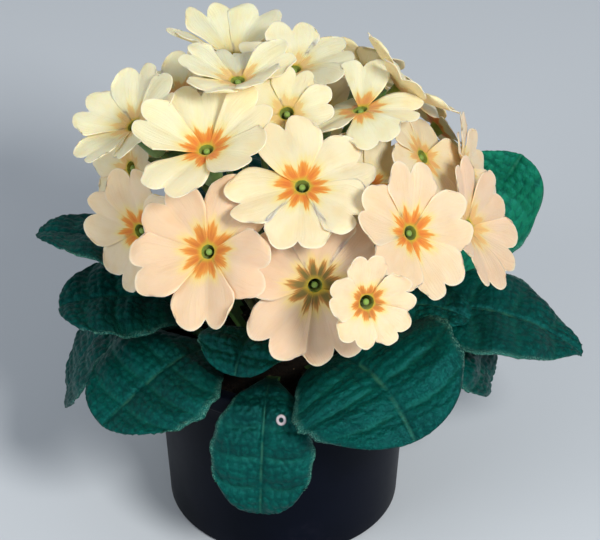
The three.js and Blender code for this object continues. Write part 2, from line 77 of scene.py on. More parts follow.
# The old nick in one leaf: its place sideways of the midrib and along it, its depth and its raised rim.
NICK = SimpleNamespace(
    leaf=5, u=7.1, v=43.9, depth=0.9, rim=0.5, rim_radius=1.6, rim_width=0.2, far=99.0)
# Hairs: their width and stray, then how long and how many on each stalk, calyx and leaf's margin.
HAIR = SimpleNamespace(
    width=0.05, stray=0.25, shortest=0.6, longest=1.2, stalk=0.9, stalk_count=70, calyx=0.7,
    calyx_count=60, leaf=0.4, leaf_count=320)
CRUMBS = SimpleNamespace(count=420, small=0.5, large=1.5)
# Sides of round bodies, and rows along a stalk.
SIDES = SimpleNamespace(stalk=12, calyx=40, pistil=12, crown=32, soil=140, pot=180, drain=28)
STALK_ROWS = 24
GAP = 0.3
# The camera and the lamps, in metres and watts.
CAMERA = SimpleNamespace(elevation=36, target=(7, 0, 112), distance=1.4, sensor=36, lens=205.8)
KEY = SimpleNamespace(
    place=(0.6, -1.05, 1.15), aim=(0, 0, 0.14), size=0.4, power=21, colour=(1.0, 0.965, 0.9))
FILL = SimpleNamespace(
    place=(-1.1, -0.9, 0.9), aim=(0, 0, 0.12), size=0.8, power=7, colour=(1.0, 0.97, 0.93))
SKY = SimpleNamespace(colour=(0.9, 0.95, 1.0, 1), strength=0.34)


def bloom(bearing, tilt, span=50, lift=0, roll=0, open=10, curl=-10, nod=0, yaw=0,
          opens=None, fan=(0, 0, 0, 0, 0), tint=0.5, brown=0.0, eye=1.0, calm=0.0):
    if opens is None:
        opens = [open + PETAL.stray * math.sin(1.7 * bearing + 2.3 * tilt + 2.1 * k)
                 for k in range(PETAL.count)]
    return SimpleNamespace(**locals())


def leaf(bearing, reach, height, half_width, ring=21, rise=60, fall=-20, bow=0.4, swing=0, roll=0,
         widest=0.68, tip=0.8, point=0.5, fresh=0.0):
    return SimpleNamespace(**locals())


# Places are as in the solids. tint runs from cream to peach, brown darkens the orange eye, eye is how
# strong it is, and calm flattens the ruffles where neighbours are close.
BLOOMS = [
    bloom(-48, 36, span=62, lift=7, roll=46, curl=-6, nod=-22, yaw=7,
          opens=(16, 33, 12, 26, 29), fan=(-2, -6, -5, 10, 2), tint=0.15, calm=0.5),
    bloom(1, 39, span=60, lift=4, roll=20, nod=-14,
          opens=(11, 3, 8, 17, -4), fan=(-5, 12, 11, -5, -7), tint=0.4),
    bloom(-30, 61, span=63, lift=5, roll=-14, curl=-12, nod=-10, yaw=-3,
          opens=(0, 8, 23, 12, 18), fan=(0, 7, -5, 1, -2), tint=0.95, brown=0.25),
    bloom(5, 68, span=64, lift=-4, roll=-17, curl=-12, nod=3, yaw=7,
          opens=(10, 10, 12, 7, 4), fan=(6, 0, 7, -7, 26), tint=1.15, brown=1),
    bloom(15, 68, span=38, lift=29, roll=-5, curl=10, nod=-4, yaw=7,
          opens=(6, 17, 15, 11, 18), fan=(-3, 1, 4, 3, -8), tint=0.7, brown=0.4),
    bloom(34, 57, span=56, lift=14, roll=-28, nod=-4, yaw=11,
          opens=(14, 13, 22, 11, 11), fan=(2, 1, -2, -1, -2), tint=0.8, calm=0.4),
    bloom(65, 20, span=50, lift=0, roll=-81, curl=-8, nod=-33, yaw=-6,
          opens=(31, -13, 5, -10, -4), fan=(13, -15, 0, 4, -6), tint=0.05, eye=0.8, calm=0.6),
    bloom(-78, 17, span=50, lift=9, roll=69, curl=-4, nod=-15, yaw=9,
          opens=(-5, 26, 22, 36, 24), fan=(5, -4, -1, 0, 0), tint=0, eye=0.45),
    bloom(-84, 47, span=53, lift=14, roll=57, curl=-8, nod=-11, yaw=8,
          opens=(20, 29, 23, 23, 22), tint=0.1, calm=0.6, eye=0.4),
    bloom(-97, 66, span=46, lift=-1, roll=20, open=12, nod=6, yaw=40, tint=0.4, eye=0.4),
    bloom(-78, 77, span=54, lift=-9, roll=20, open=8, curl=-12, yaw=40, tint=0.7),
    bloom(72, 44, span=50, lift=-3, roll=-71, curl=-8, nod=6, yaw=4,
          opens=(-5, 6, 6, 6, 6), tint=0.5, eye=0.6, calm=0.5),
    bloom(94, 63, span=46, lift=-2, roll=-33, open=20, curl=-8, nod=6, yaw=-6, tint=0.75, eye=0.4,
          calm=0.5),
    bloom(65, 68, span=57, lift=3, roll=-84, nod=-3, yaw=9,
          opens=(16, 18, 17, 23, 21), fan=(-8, 0, -1, 2, 5), tint=0.95, eye=0.45, calm=0.8),
    bloom(-147, 38, span=59, lift=4, roll=-156, curl=-8, nod=-23, yaw=-20,
          opens=(38, 34, 8, 10, 34), fan=(-6, -2, 6, -1, 7), tint=0, eye=0.12),
    bloom(-18, 13, span=40, lift=-1, roll=2, open=12, curl=-8, nod=14, tint=0.1, eye=0.35, calm=0.7),
    bloom(100, 30, span=52, lift=4, roll=-102, nod=24, yaw=14,
          opens=(14, 18, 20, 28, 18), fan=(-17, 1, 1, 0, 13), tint=0.3, eye=0.4),
    bloom(-110, 41, span=50, lift=2, roll=4, open=26, curl=-12, nod=-8, yaw=16, tint=0.2, eye=0.6),
    bloom(176, 38, span=50, lift=-8, roll=25, open=14, curl=-14, nod=3, tint=0.2, calm=0.7),
    bloom(-128, 74, span=50, lift=-2, roll=5, open=12, curl=-14, tint=0.6),
    bloom(122, 64, span=46, lift=-2, roll=0, open=10, curl=-16, tint=0.6, calm=0.7),
    bloom(-158, 60, span=50, lift=2, roll=0, open=10, curl=-14, tint=0.5),
    bloom(156, 60, span=48, lift=3, roll=30, open=10, curl=-14, tint=0.4),
    bloom(172, 80, span=48, lift=0, roll=30, open=10, curl=-14, tint=0.7),
    bloom(40, 40, span=48, lift=-14, roll=22, open=14, curl=-12, nod=9, yaw=-12, tint=0.4),
    bloom(-172, 14, span=50, lift=-2, roll=30, open=20, curl=-12, nod=-14, tint=0.1, calm=0.7, eye=0.4),
]
LEAVES = [
    leaf(-101, 103, 117, 21, ring=13, rise=66, fall=-10, roll=10),
    leaf(-88, 92, 96, 26, ring=18, rise=54, fall=-20),
    leaf(-88, 90, 48, 24, ring=23, rise=38, fall=-80, bow=0.6),
    leaf(-52, 92, 76, 31, ring=18, rise=50, fall=-26, bow=0.5, widest=0.6),
    leaf(-7, 74, 44, 21, ring=23, rise=44, fall=-82, bow=0.7),
    leaf(-20, 56, 98, 20, ring=13, rise=66, fall=-60, bow=0.5),
    leaf(33, 96, 87, 37, ring=18, rise=46, fall=-42, roll=24, swing=5, bow=0.5, widest=0.6),
    leaf(78, 78, 99, 14, ring=13, rise=60, fall=-30, swing=14, roll=8),
    leaf(80, 87, 65, 27, ring=23, rise=35, fall=-74, bow=0.6),
    leaf(85, 124, 77, 27, ring=18, roll=4, rise=46, fall=-44, widest=0.6, tip=0.4, point=1),
    leaf(114, 108, 139, 27, ring=13, rise=61, fall=60, roll=65, fresh=1),
    leaf(128, 98, 92, 24, ring=23, rise=44, fall=-20),
    leaf(158, 98, 104, 25, ring=18, rise=56, fall=-10),
    leaf(175, 92, 74, 24, ring=23, rise=42, fall=-50),
    leaf(-160, 96, 114, 23, ring=13, rise=64, fall=0),
    leaf(-138, 98, 90, 25, ring=23, rise=44, fall=-20),
    leaf(-124, 90, 106, 22, ring=18, rise=58, fall=-6),
]


def radians(x):
    return x * math.pi / 180


def ramp(low, high, x):
    t = np.clip((np.asarray(x, float) - low) / (high - low), 0, 1)
    return t * t * (3 - 2 * t)


def direction(bearing, tilt):
    b, t = radians(bearing), radians(tilt)
    return np.array((math.sin(t) * math.sin(b), -math.sin(t) * math.cos(b), math.cos(t)))


def unit(v):
    return v / np.maximum(np.linalg.norm(v, axis=-1, keepdims=True), 1e-9)


class Mesh:
    """Gathers points, faces and named values for each point, then makes one piece of them."""

    def __init__(self):
        self.points, self.faces, self.values, self.count = [], [], [], 0

    def add(self, points, faces, **values):
        points = np.asarray(points, float).reshape(-1, 3)
        self.points.append(points)
        self.faces.extend([tuple(int(i) + self.count for i in f) for f in faces])
        self.values.append({key: np.broadcast_to(np.asarray(value, float).ravel(), len(points))
                            for key, value in values.items()})
        self.count += len(points)

    def piece(self, name, nodes, slot, material):
        points = np.concatenate(self.points) * MM
        data = bpy.data.meshes.new(name)
        data.from_pydata(points.tolist(), [], self.faces)
        data.validate()
        data.shade_smooth()
        for key in sorted({k for v in self.values for k in v}):
            parts = [v.get(key, np.zeros(len(p))) for v, p in zip(self.values, self.points)]
            column = np.concatenate(parts).astype(np.float32)
            data.attributes.new(key, "FLOAT", "POINT").data.foreach_set("value", column)
        data.materials.append(material)
        piece = bpy.data.objects.new(name, data)
        bpy.context.scene.collection.objects.link(piece)
        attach(piece, "root")
        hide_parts(*nodes)
        return piece


def grid_faces(rows, columns, closed=False):
    """Quads over a grid of points, row by row. A closed grid joins its last column to its first."""
    faces = []
    for i in range(rows - 1):
        for j in range(columns if closed else columns - 1):
            n = (j + 1) % columns
            a, b = i * columns, (i + 1) * columns
            faces.append((a + j, b + j, b + n, a + n))
    return faces


def grid_normals(points):
    down = np.gradient(points, axis=0)
    across = np.gradient(points, axis=1)
    return unit(np.cross(down, across))


def add_sheet(mesh, points, depths, **values):
    """A grid of points as a closed sheet with its underside pushed in by each point's depth."""
    rows, columns, _ = points.shape
    under = points - grid_normals(points) * depths[..., None]
    count = rows * columns
    faces = grid_faces(rows, columns)
    faces += [tuple(count + i for i in reversed(f)) for f in grid_faces(rows, columns)]
    rim = list(range(columns))
    rim += [i * columns + columns - 1 for i in range(1, rows)]
    rim += [(rows - 1) * columns + j for j in range(columns - 2, -1, -1)]
    rim += [i * columns for i in range(rows - 2, 0, -1)]
    for a, b in zip(rim, rim[1:] + rim[:1]):
        faces.append((a, b, b + count, a + count))
    both = {key: np.concatenate([np.broadcast_to(value, (rows, columns)).ravel()] * 2)
            for key, value in values.items()}
    both["under"] = np.repeat((0.0, 1.0), count)
    mesh.add(np.concatenate((points.reshape(-1, 3), under.reshape(-1, 3))), faces, **both)


def add_tube(mesh, rings, **values):
    """A closed body through rings of points, with flat ends."""
    rings = np.asarray(rings, float)
    rows, columns, _ = rings.shape
    faces = [tuple(reversed(f)) for f in grid_faces(rows, columns, closed=True)]
    faces += [tuple(range(columns - 1, -1, -1)), tuple((rows - 1) * columns + j for j in range(columns))]
    mesh.add(rings, faces, **{k: np.broadcast_to(v, (rows, columns)) for k, v in values.items()})


def level_ring(radius, angle, z):
    """Points round the pot's axis at one height."""
    return np.stack((radius * np.cos(angle), radius * np.sin(angle), np.full(len(angle), z)), -1)


def round_turn(sides):
    return np.arange(sides) * 2 * math.pi / sides


# Curves.
def bezier(p, t):
    t = np.asarray(t, float)[..., None]
    return p[0] * (1 - t) ** 3 + 3 * p[1] * t * (1 - t) ** 2 + 3 * p[2] * t * t * (1 - t) + p[3] * t ** 3


def bezier_ahead(p, t):
    t = np.asarray(t, float)[..., None]
    return unit((p[1] - p[0]) * (1 - t) ** 2 + 2 * (p[2] - p[1]) * t * (1 - t) + (p[3] - p[2]) * t * t)


# Blooms.
def bloom_frame(b):
    faces = direction(b.bearing + b.yaw, b.tilt + b.nod)
    uphill = direction(b.bearing + b.yaw, b.tilt + b.nod - 90)
    side = np.cross(faces, uphill)
    throat = DOME.centre + direction(b.bearing, b.tilt) * (DOME.radius + b.lift)

    def at(x, y, z):
        x, y, z = (np.asarray(v, float)[..., None] for v in (x, y, z))
        return throat + x * uphill + y * side + z * faces

    return SimpleNamespace(
        faces=faces, side=side, at=at, turn=lambda k: radians(b.roll + 360 / PETAL.count * k))


def petal_width(along):
    swell = np.sin((math.pi / 2) * np.minimum(1, along / PETAL.widest)) ** 1.2
    taper = (1 - PETAL.tip) * ramp(PETAL.widest, 1, along)
    return PETAL.base + (1 - PETAL.base) * swell - taper


def petal_outline(seed, along, across):
    """How far out each point lies once the tip is drawn in to two round lobes."""
    side = np.abs(across)
    middle = PETAL.lobe_middle + PETAL.lobe_stray * np.sin(seed + np.where(across < 0, 2.0, 0.0))
    off = np.where(side < middle, (middle - side) / middle * 0.94, (side - middle) / (1 - middle) * 0.99)
    lobe = PETAL.lobe * (1 + PETAL.lobe_change * math.sin(1.3 * seed))
    depth = lobe * (1 - np.sqrt(1 - np.clip(off, 0, 0.99) ** 2))
    return along * (1 - depth) * (1 + 0.01 * np.sin(7 * across + seed) * ramp(0.7, 1, along))


def petal_rise(b, seed, along, across, half):
    """How far the petal's face stands up: a twist, a dish, a crease, folds, ruffles and fine ribs."""
    crease = -RELIEF.crease * np.exp(-((across / RELIEF.crease_width) ** 2)) * ramp(0.05, 0.5, along)
    off_fold = (np.abs(across) - RELIEF.fold_place) / RELIEF.fold_width
    fold = RELIEF.fold * np.exp(-(off_fold ** 2)) * ramp(0.1, 0.6, along)
    edge = RELIEF.edge * across ** 2 * np.sin(8 * along + 2 * across + seed) * ramp(0.35, 1, along)
    middle = RELIEF.middle * (1 - across ** 2) * np.sin(3.4 * across + seed) * ramp(0.4, 1, along)
    tip = RELIEF.tip * math.sin(2 * seed) * ramp(0.75, 1, along) ** 2
    ribs = RELIEF.rib * np.cos(RELIEF.ribs * across) * ramp(0.15, 0.5, along)
    dish = PETAL.camber * (1 + (1 - b.calm) * math.sin(1.7 * seed)) * half * across ** 2
    twist = PETAL.twist * across * ramp(0.1, 0.45, along)
    size = b.span / RELIEF.span
    return twist + dish + size * (crease + fold + (1 - b.calm) * (edge + middle + tip) + ribs)


def petal_points(b, f, k, along, across):
    """Points on petal k: along runs from 0 at the throat to 1 at the tip, across from -1 to 1."""
    seed = 2.7 * b.bearing + 1.3 * b.tilt + 1.9 * k
    half_share = math.pi / PETAL.count
    share = petal_outline(seed, along, across)
    opened, curl = radians(b.opens[k]), radians(b.curl) * share
    length = (b.span / 2 - TUBE.throat) * share
    distance = TUBE.throat * math.cos(half_share) + length * np.cos(opened + curl / 2)
    # Each side may reach the line halfway to the next petal and lap a little past it.
    room = []
    for s in (-1, 1):
        spread = s * (b.fan[(k + s) % PETAL.count] - b.fan[k]) / 2
        room.append(math.tan(radians(180 / PETAL.count + PETAL.lap + spread)))
    width = PETAL.half_width * (b.span / 2) * petal_width(along)
    half = np.minimum(width, distance * np.where(across < 0, *room))
    rise = petal_rise(b, seed, along, across, half)
    x = distance - rise * np.sin(opened + curl)
    y = half * across
    z = length * np.sin(opened + curl / 2) + rise * np.cos(opened + curl)
    turn = f.turn(k) + radians(b.fan[k])
    px = x * math.cos(turn) - y * math.sin(turn)
    py = x * math.sin(turn) + y * math.cos(turn)
    # The petal's foot bends round to the throat's circle.
    foot = f.turn(k) + across * half_share
    near = 1 - ramp(0, 0.12, along)
    px = px + (TUBE.throat * np.cos(foot) - px) * near
    py = py + (TUBE.throat * np.sin(foot) - py) * near
    return f.at(px, py, z * (1 - near)), share


PETAL_ROWS = np.concatenate(
    ((0, 0.02, 0.05, 0.09, 0.14, 0.2), np.linspace(0.27, 0.9, 12), (0.94, 0.97, 0.985, 1)))
PETAL_COLUMNS = np.sin(np.linspace(-1, 1, 23) * math.pi / 2) * 0.5 + np.linspace(-1, 1, 23) * 0.5
TUBE_ROWS = np.array((0, 0.3, 0.55, 0.75, 0.88, 0.96))


def make_bloom(b, name, material):
    f = bloom_frame(b)
    mesh = Mesh()
    along, across = np.meshgrid(PETAL_ROWS, PETAL_COLUMNS, indexing="ij")
    down, down_across = np.meshgrid(TUBE_ROWS, PETAL_COLUMNS, indexing="ij")
    for k in range(PETAL.count):
        points, share = petal_points(b, f, k, along, across)
        turn = f.turn(k) + down_across * math.pi / PETAL.count
        widening = (TUBE.throat - TUBE.flare - TUBE.radius) * down
        radius = TUBE.radius + widening + TUBE.flare * down ** 8
        tube = f.at(radius * np.cos(turn), radius * np.sin(turn), -TUBE.length * (1 - down))
        points = np.concatenate((tube, points))
        reach = np.concatenate((0.12 * (down - 1), share))
        # rim marks the petal's margin and tip, which the petal colour paints paler as painted light
        # shining through the thin edge.
        rim = np.maximum(ramp(0.95, 1, along), ramp(0.93, 1, np.abs(across)) * ramp(0.3, 0.6, along))
        add_sheet(mesh, points, np.full(reach.shape, PETAL.thickness), reach=reach,
                  across=np.concatenate((down_across, across)), rim=np.concatenate((0 * down, rim)),
                  tint=b.tint, brown=b.brown, eye=b.eye, petal=0.37 * k + 0.11 * b.bearing)
    mesh.piece(name + "_petals", [name], "petal", material)


# Stalks, calyxes and pistils.
HAIRS = np.random.default_rng(7)


def add_hairs(mesh, roots, outward, length, **values):
    """Short tapering hairs that stand out from the given points."""
    points, faces = [], []
    for root, out in zip(roots, outward):
        out = unit(out + HAIRS.normal(size=3) * HAIR.stray)
        side = unit(np.cross(out, (0.3, 0.5, 0.81)))
        over = np.cross(out, side) * HAIR.width * 0.87
        side = side * HAIR.width
        n = len(points)
        points += [root + side, root - side * 0.5 + over, root - side * 0.5 - over,
                   root + out * length * HAIRS.uniform(HAIR.shortest, HAIR.longest)]
        faces += [(n, n + 1, n + 3), (n + 1, n + 2, n + 3), (n + 2, n, n + 3), (n, n + 2, n + 1)]
    mesh.add(points, faces, **values)


def add_stalk(mesh, b, f, foot):
    root = direction(b.bearing, 90) * STALK.root_ring * math.sin(radians(b.tilt))
    root[2] = CROWN.top - CROWN.shoulder
    end = f.at(0, 0, foot - CALYX.taper)
    third = np.linalg.norm(end - root) / 3
    line = (root, root + direction(b.bearing, STALK.lean * b.tilt) * third, end - f.faces * third, end)
    t = np.linspace(0, 1, STALK_ROWS)
    centre, ahead = bezier(line, t), bezier_ahead(line, t)
    across = unit(f.side - ahead * (ahead @ f.side)[:, None])
    over = np.cross(across, ahead)
    uneven = STALK.ripple * np.sin(19 * t + b.bearing)
    thick = STALK.radius * (1 + STALK.swell * np.cos(math.pi * t) + uneven)
    around = round_turn(SIDES.stalk)[None, :, None]
    outward = np.cos(around) * over[:, None] + np.sin(around) * across[:, None]
    rings = centre[:, None] + outward * thick[:, None, None]
    add_tube(mesh, rings, kind=0.0, height=t[:, None])
    rows, sides = HAIRS.integers(0, (STALK_ROWS - 1, SIDES.stalk), (HAIR.stalk_count, 2)).T
    add_hairs(mesh, rings[rows, sides], outward[rows, sides], HAIR.stalk, kind=0.3, height=0.8)


def add_calyx(mesh, f, foot, inside):
    """A taper, a pleated wall with five teeth, over the rim, down the inside and across its floor."""
    theta = round_turn(SIDES.calyx)
    wave = np.cos(PETAL.count * (theta - f.turn(0.5)))
    near = np.arccos(np.clip(wave, -1, 1)) / math.pi
    rim = foot + CALYX.length - CALYX.tooth + CALYX.tooth * (1 - near) ** 1.2

    def wall(s):
        swell = CALYX.foot + (CALYX.radius - CALYX.foot) * s
        return swell + CALYX.pleat * wave * s + CALYX.flare * s ** 6 * (1 - near)

    rows, heights = [], []
    for s in np.linspace(0, 1, 6):
        radius = STALK.radius + (CALYX.foot - STALK.radius) * math.sin(s * math.pi / 2) ** 0.8
        level = foot - CALYX.taper + CALYX.taper * s ** 1.5
        rows.append((radius * (1 + 0.04 * s * wave), np.full(SIDES.calyx, level)))
        heights.append(0.2 * s)
    for s in np.linspace(0.1, 1, 9):
        rows.append((wall(s), foot + (rim - foot) * s))
        heights.append(0.2 + 0.8 * s)
    for s, drop in ((0.99, 0.15), (0.6, 0), (0.25, 0)):
        rows.append((wall(s) - CALYX.wall, foot + (rim - foot) * s - drop))
        heights.append(0.5)
    for radius, level in ((CALYX.floor_radius, inside), (0.2, inside - 0.2)):
        rows.append((np.full(SIDES.calyx, radius), np.full(SIDES.calyx, level)))
        heights.append(0.4)
    calyx = np.array([f.at(r * np.cos(theta), r * np.sin(theta), z) for r, z in rows])
    add_tube(mesh, calyx, kind=1.0, height=np.array(heights)[:, None])
    picked, sides = HAIRS.integers((3, 0), (14, SIDES.calyx), (HAIR.calyx_count, 2)).T
    roots = calyx[picked, sides]
    axis = f.at(0, 0, rows[8][1][0])
    add_hairs(mesh, roots, unit(roots - axis), HAIR.calyx, kind=0.3, height=0.8)


def add_pistil(mesh, f, inside):
    """A thin style with a round, dimpled stigma."""
    turn = round_turn(SIDES.pistil)
    slope = np.linspace(0.35, math.pi - 0.3, 7)
    stigma = PISTIL.stigma * np.sin(slope)
    level = -PISTIL.depth - PISTIL.stigma * 0.8 * np.cos(slope)
    profile = [(0.25, inside - 0.1), (0.32, -6), (0.4, -3)]
    profile += list(zip(stigma, level)) + [(0.15, level[-1] - 0.12)]
    rings = [f.at(r * np.cos(turn), r * np.sin(turn), np.full(SIDES.pistil, z)) for r, z in profile]
    add_tube(mesh, rings, kind=2.0, height=1.0)


def add_crown(mesh):
    angle = round_turn(SIDES.crown)
    bottom = SOIL.crown - CROWN.depth
    profile = [
        (0.5, bottom), (CROWN.radius - 2, bottom), (CROWN.radius, bottom + 3),
        (CROWN.radius + 0.3, CROWN.top - 7), (CROWN.radius, CROWN.top - CROWN.shoulder),
        (CROWN.radius - 1.2, CROWN.top - 1.2), (CROWN.radius - 3.5, CROWN.top - 0.2), (0.5, CROWN.top)]
    lumps = 1 + 0.05 * np.sin(7 * angle) + 0.03 * np.sin(13 * angle + 1)
    add_tube(mesh, [level_ring(r * lumps, angle, z) for r, z in profile], kind=0.0, height=0.0)


def make_stalks(material):
    mesh = Mesh()
    inside = -TUBE.length - GAP
    foot = inside - CALYX.floor
    for b in BLOOMS:
        f = bloom_frame(b)
        add_stalk(mesh, b, f, foot)
        add_calyx(mesh, f, foot, inside)
        add_pistil(mesh, f, inside)
    add_crown(mesh)
    mesh.piece("stalks", ["flower_stalks"], "stalk", material)


# Leaves.
def soil_height(radius, angle):
    level = SOIL.crown + (SOIL.rim - SOIL.crown) * ramp(CROWN.radius, POT.top, radius)
    lumps = SOIL.lump * np.sin(5 * angle + radius) * np.cos(3 * angle - 0.35 * radius)
    return level + lumps * ramp(0, CROWN.radius, radius)


def midrib(l):
    root = direction(l.bearing - l.swing, 90) * l.ring
    root[2] = soil_height(l.ring, 0.0) - LEAF.root_sink
    tip = direction(l.bearing, 90) * l.reach
    tip[2] = l.height
    handle = l.bow * np.linalg.norm(tip - root)
    return (root, root + direction(l.bearing - l.swing, 90 - l.rise) * handle,
            tip - direction(l.bearing, 90 - l.fall) * handle, tip)


def leaf_half_width(l, along):
    s = along * (l.widest + (1 - l.widest) * math.sqrt(1 - l.tip ** 2))
    opened = np.clip((s - LEAF.petiole) / (l.widest - LEAF.petiole), 0, 1)
    swell = LEAF.petiole_half + (l.half_width - LEAF.petiole_half) * np.sin(math.pi / 2 * opened) ** 1.2
    end = l.half_width * np.clip(1 - ((s - l.widest) / (1 - l.widest)) ** 2, 0, 1) ** l.point
    return np.where(s < l.widest, swell, end)


JITTER = np.random.default_rng(3).uniform(0.15, 0.85, (64, 64, 2))


def cells(u, v, size):
    """Nearest and second nearest distances to the middles of irregular cells of a given size."""
    x, y = u / size, v / size
    ix, iy = np.floor(x).astype(int), np.floor(y).astype(int)
    found = []
    for dx in (-1, 0, 1):
        for dy in (-1, 0, 1):
            jitter = JITTER[(ix + dx) % 64, (iy + dy) % 64]
            found.append(np.hypot(ix + dx + jitter[..., 0] - x, iy + dy + jitter[..., 1] - y))
    found = np.sort(np.array(found), axis=0)
    return found[0], found[1]


LEAF_ROWS = np.concatenate((np.linspace(0, LEAF.petiole, 9)[:-1], np.linspace(LEAF.petiole, 1, 100)))
LEAF_COLUMNS = np.linspace(-1, 1, 57)


def leaf_sheet(l, along, across):
    """Each point's place on the midrib, the ways sideways and out from there, and its length along."""
    line = midrib(l)
    t = np.linspace(0, 1, 400)
    steps = np.linalg.norm(np.diff(bezier(line, t), axis=0), axis=1)
    run = np.concatenate(((0,), np.cumsum(steps)))
    s = along * (l.widest + (1 - l.widest) * np.sqrt(1 - (l.tip * across) ** 2))
    time = np.interp(s * run[-1], run, t)
    place, ahead = bezier(line, time), bezier_ahead(line, time)
    level = direction(l.bearing + 90, 90)
    over = unit(np.cross(ahead, level))
    roll = radians(l.roll) * ramp(0.15, 0.7, s)[..., None]
    sideways = level * np.cos(roll) + over * np.sin(roll)
    out = over * np.cos(roll) - level * np.sin(roll)
    return place, sideways, out, s * run[-1]


def make_leaf(l, index, name, material):
    along, across = np.meshgrid(LEAF_ROWS, LEAF_COLUMNS, indexing="ij")
    place, sideways, out, v = leaf_sheet(l, along, across)
    side = np.abs(across)
    margin = side ** 4
    blade = ramp(LEAF.petiole, LEAF.petiole + 0.25, along)
    outwards = (along - LEAF.petiole) / (1 - LEAF.petiole)
    phase = LEAF.side_veins * (outwards - 0.09 * side)
    vein = np.cos(2 * math.pi * phase)
    scallop = np.abs(np.sin(QUILT.scallops * math.pi * outwards + index)) ** 1.2
    scallop = QUILT.scallop * scallop - QUILT.scallop / 2
    half = leaf_half_width(l, along) * (1 + (LEAF.tooth * vein * margin + scallop * side ** 8) * blade)
    u = half * across
    # The quilting: large and small cells that puff up between the veins' grooves.
    near, second = cells(u + 40 * index, v + 17 * index, QUILT.cell)
    small, _ = cells(u + 90 * index, v + 31 * index, QUILT.small_cell)
    valley = np.minimum(1, (second - near) / QUILT.valley)
    puff = np.clip(1 - (near / QUILT.puff_reach) ** 2, 0, 1) * valley
    pimple = np.clip(1 - (small / QUILT.pimple_reach) ** 2, 0, 1)
    off_vein = np.abs(phase - np.round(phase)) / QUILT.groove_width
    groove = np.exp(-(off_vein ** 2)) * ramp(0.02, 0.2, side)
    middle = np.exp(-((u / QUILT.furrow_width) ** 2))
    rugose = QUILT.puff * puff + QUILT.pimple * pimple - QUILT.groove * groove
    rugose = rugose * (1 - 0.6 * margin) * (1 - middle) - QUILT.furrow * middle
    nick = np.hypot(u - NICK.u, v - NICK.v) if index == NICK.leaf else np.full(u.shape, NICK.far)
    rim = NICK.rim * np.exp(-((nick - NICK.rim_radius) ** 2) / NICK.rim_width)
    rugose = rugose - NICK.depth * np.exp(-(nick ** 2)) + rim
    quilt = -LEAF.pucker * vein * (1 - margin) * side ** 0.5
    wave = LEAF.wave * margin * np.sin(5 * math.pi * along + l.bearing)
    frill = QUILT.frill * side ** 6 * np.sin(11 * math.pi * along + 2 * l.bearing) * ramp(0.35, 0.7, along)
    trough = LEAF.trough * half * side * (1 - 1.3 * across ** 2)
    relief = blade * (quilt + rugose + wave + frill + trough)
    points = place + sideways * u[..., None] + out * relief[..., None]

    petiole = 1 - ramp(0.1, LEAF.petiole + 0.15, along)
    rib = LEAF.thickness + (LEAF.rib - LEAF.thickness) * middle * (1 - along)
    stalk = LEAF.petiole_edge + (LEAF.petiole_thickness - LEAF.petiole_edge) * (1 - side ** 2)
    thread = np.exp(-((u / QUILT.thread_width) ** 2)) * (1 - 0.6 * along)
    mesh = Mesh()
    # net marks the valleys between the puffed cells, which the leaf colour darkens as painted shade.
    add_sheet(mesh, points, rib + (stalk - rib) * petiole, u=u, v=v, edge=side * ramp(0.3, 0.5, along),
              vein=np.maximum(groove * (1 - 0.7 * side), 0), rib=thread, net=1 - puff, stem=petiole,
              nick=nick, fresh=l.fresh, leaf=float(index))
    rows = HAIRS.integers(10, len(LEAF_ROWS), HAIR.leaf_count)
    ends = HAIRS.choice((0, len(LEAF_COLUMNS) - 1), HAIR.leaf_count)
    outward = sideways[rows, ends] * np.where(ends == 0, -1, 1)[:, None]
    add_hairs(mesh, points[rows, ends], outward, HAIR.leaf, edge=2.0, nick=NICK.far, leaf=float(index))
    mesh.piece(name + "_blade", [name], "leaf", material)


# Soil and pot.
CRUMB = np.array(((0, 0, 1), (0.9, 0, 0.4), (0.28, 0.86, 0.4), (-0.73, 0.53, 0.4), (-0.73, -0.53, 0.4),
                  (0.28, -0.86, 0.4), (0, 0, -0.9)))
CRUMB_FACES = [(0, i, i % 5 + 1) for i in range(1, 6)] + [(6, i % 5 + 1, i) for i in range(1, 6)]


def add_crumbs(mesh, edge):
    """Loose crumbs on the soil, with a few pale grains among them."""
    rng = np.random.default_rng(11)
    for _ in range(CRUMBS.count):
        radius, angle = math.sqrt(rng.uniform(0.05, 0.97)) * edge, rng.uniform(0, 2 * math.pi)
        level = float(soil_height(radius, angle)) + 0.1
        place = np.array((radius * math.cos(angle), radius * math.sin(angle), level))
        size = rng.uniform(CRUMBS.small, CRUMBS.large) * rng.uniform(0.6, 1.2, 3)
        turn = rng.uniform(0, 2 * math.pi)
        spin = np.array(
            ((math.cos(turn), -math.sin(turn), 0), (math.sin(turn), math.cos(turn), 0), (0, 0, 1)))
        mesh.add(place + (CRUMB * size) @ spin, CRUMB_FACES, shade=rng.uniform(0, 1) ** 3)


def make_soil(material):
    mesh = Mesh()
    slope = (POT.top - POT.base) / (POT.height - POT.floor)
    edge = POT.base + slope * (SOIL.rim - POT.floor) - POT.wall - GAP
    foot = POT.base + 0.2 - POT.wall - GAP
    angle = round_turn(SIDES.soil)
    r, a = np.meshgrid(np.linspace(0.4, edge, 46), angle, indexing="ij")
    x, y = r * np.cos(a), r * np.sin(a)
    clod, _ = cells(x + 200, y + 200, SOIL.clod)
    crumb, _ = cells(x + 300, y + 300, SOIL.crumb)
    relief = SOIL.clod_height * (1 - clod) ** 2 + SOIL.crumb_height * (1 - crumb)
    relief = relief * ramp(edge, edge - 2, r)
    top = np.stack((x, y, soil_height(r, a) + relief - SOIL.sink), -1)
    under = [level_ring(radius, angle, z)
             for radius, z in ((0.4, POT.floor + GAP), (foot, POT.floor + GAP), (edge, SOIL.rim - 2))]
    add_tube(mesh, np.concatenate((under, top[::-1])), shade=0.0)
    add_crumbs(mesh, edge)
    mesh.piece("soil_surface", ["soil"], "soil", material)


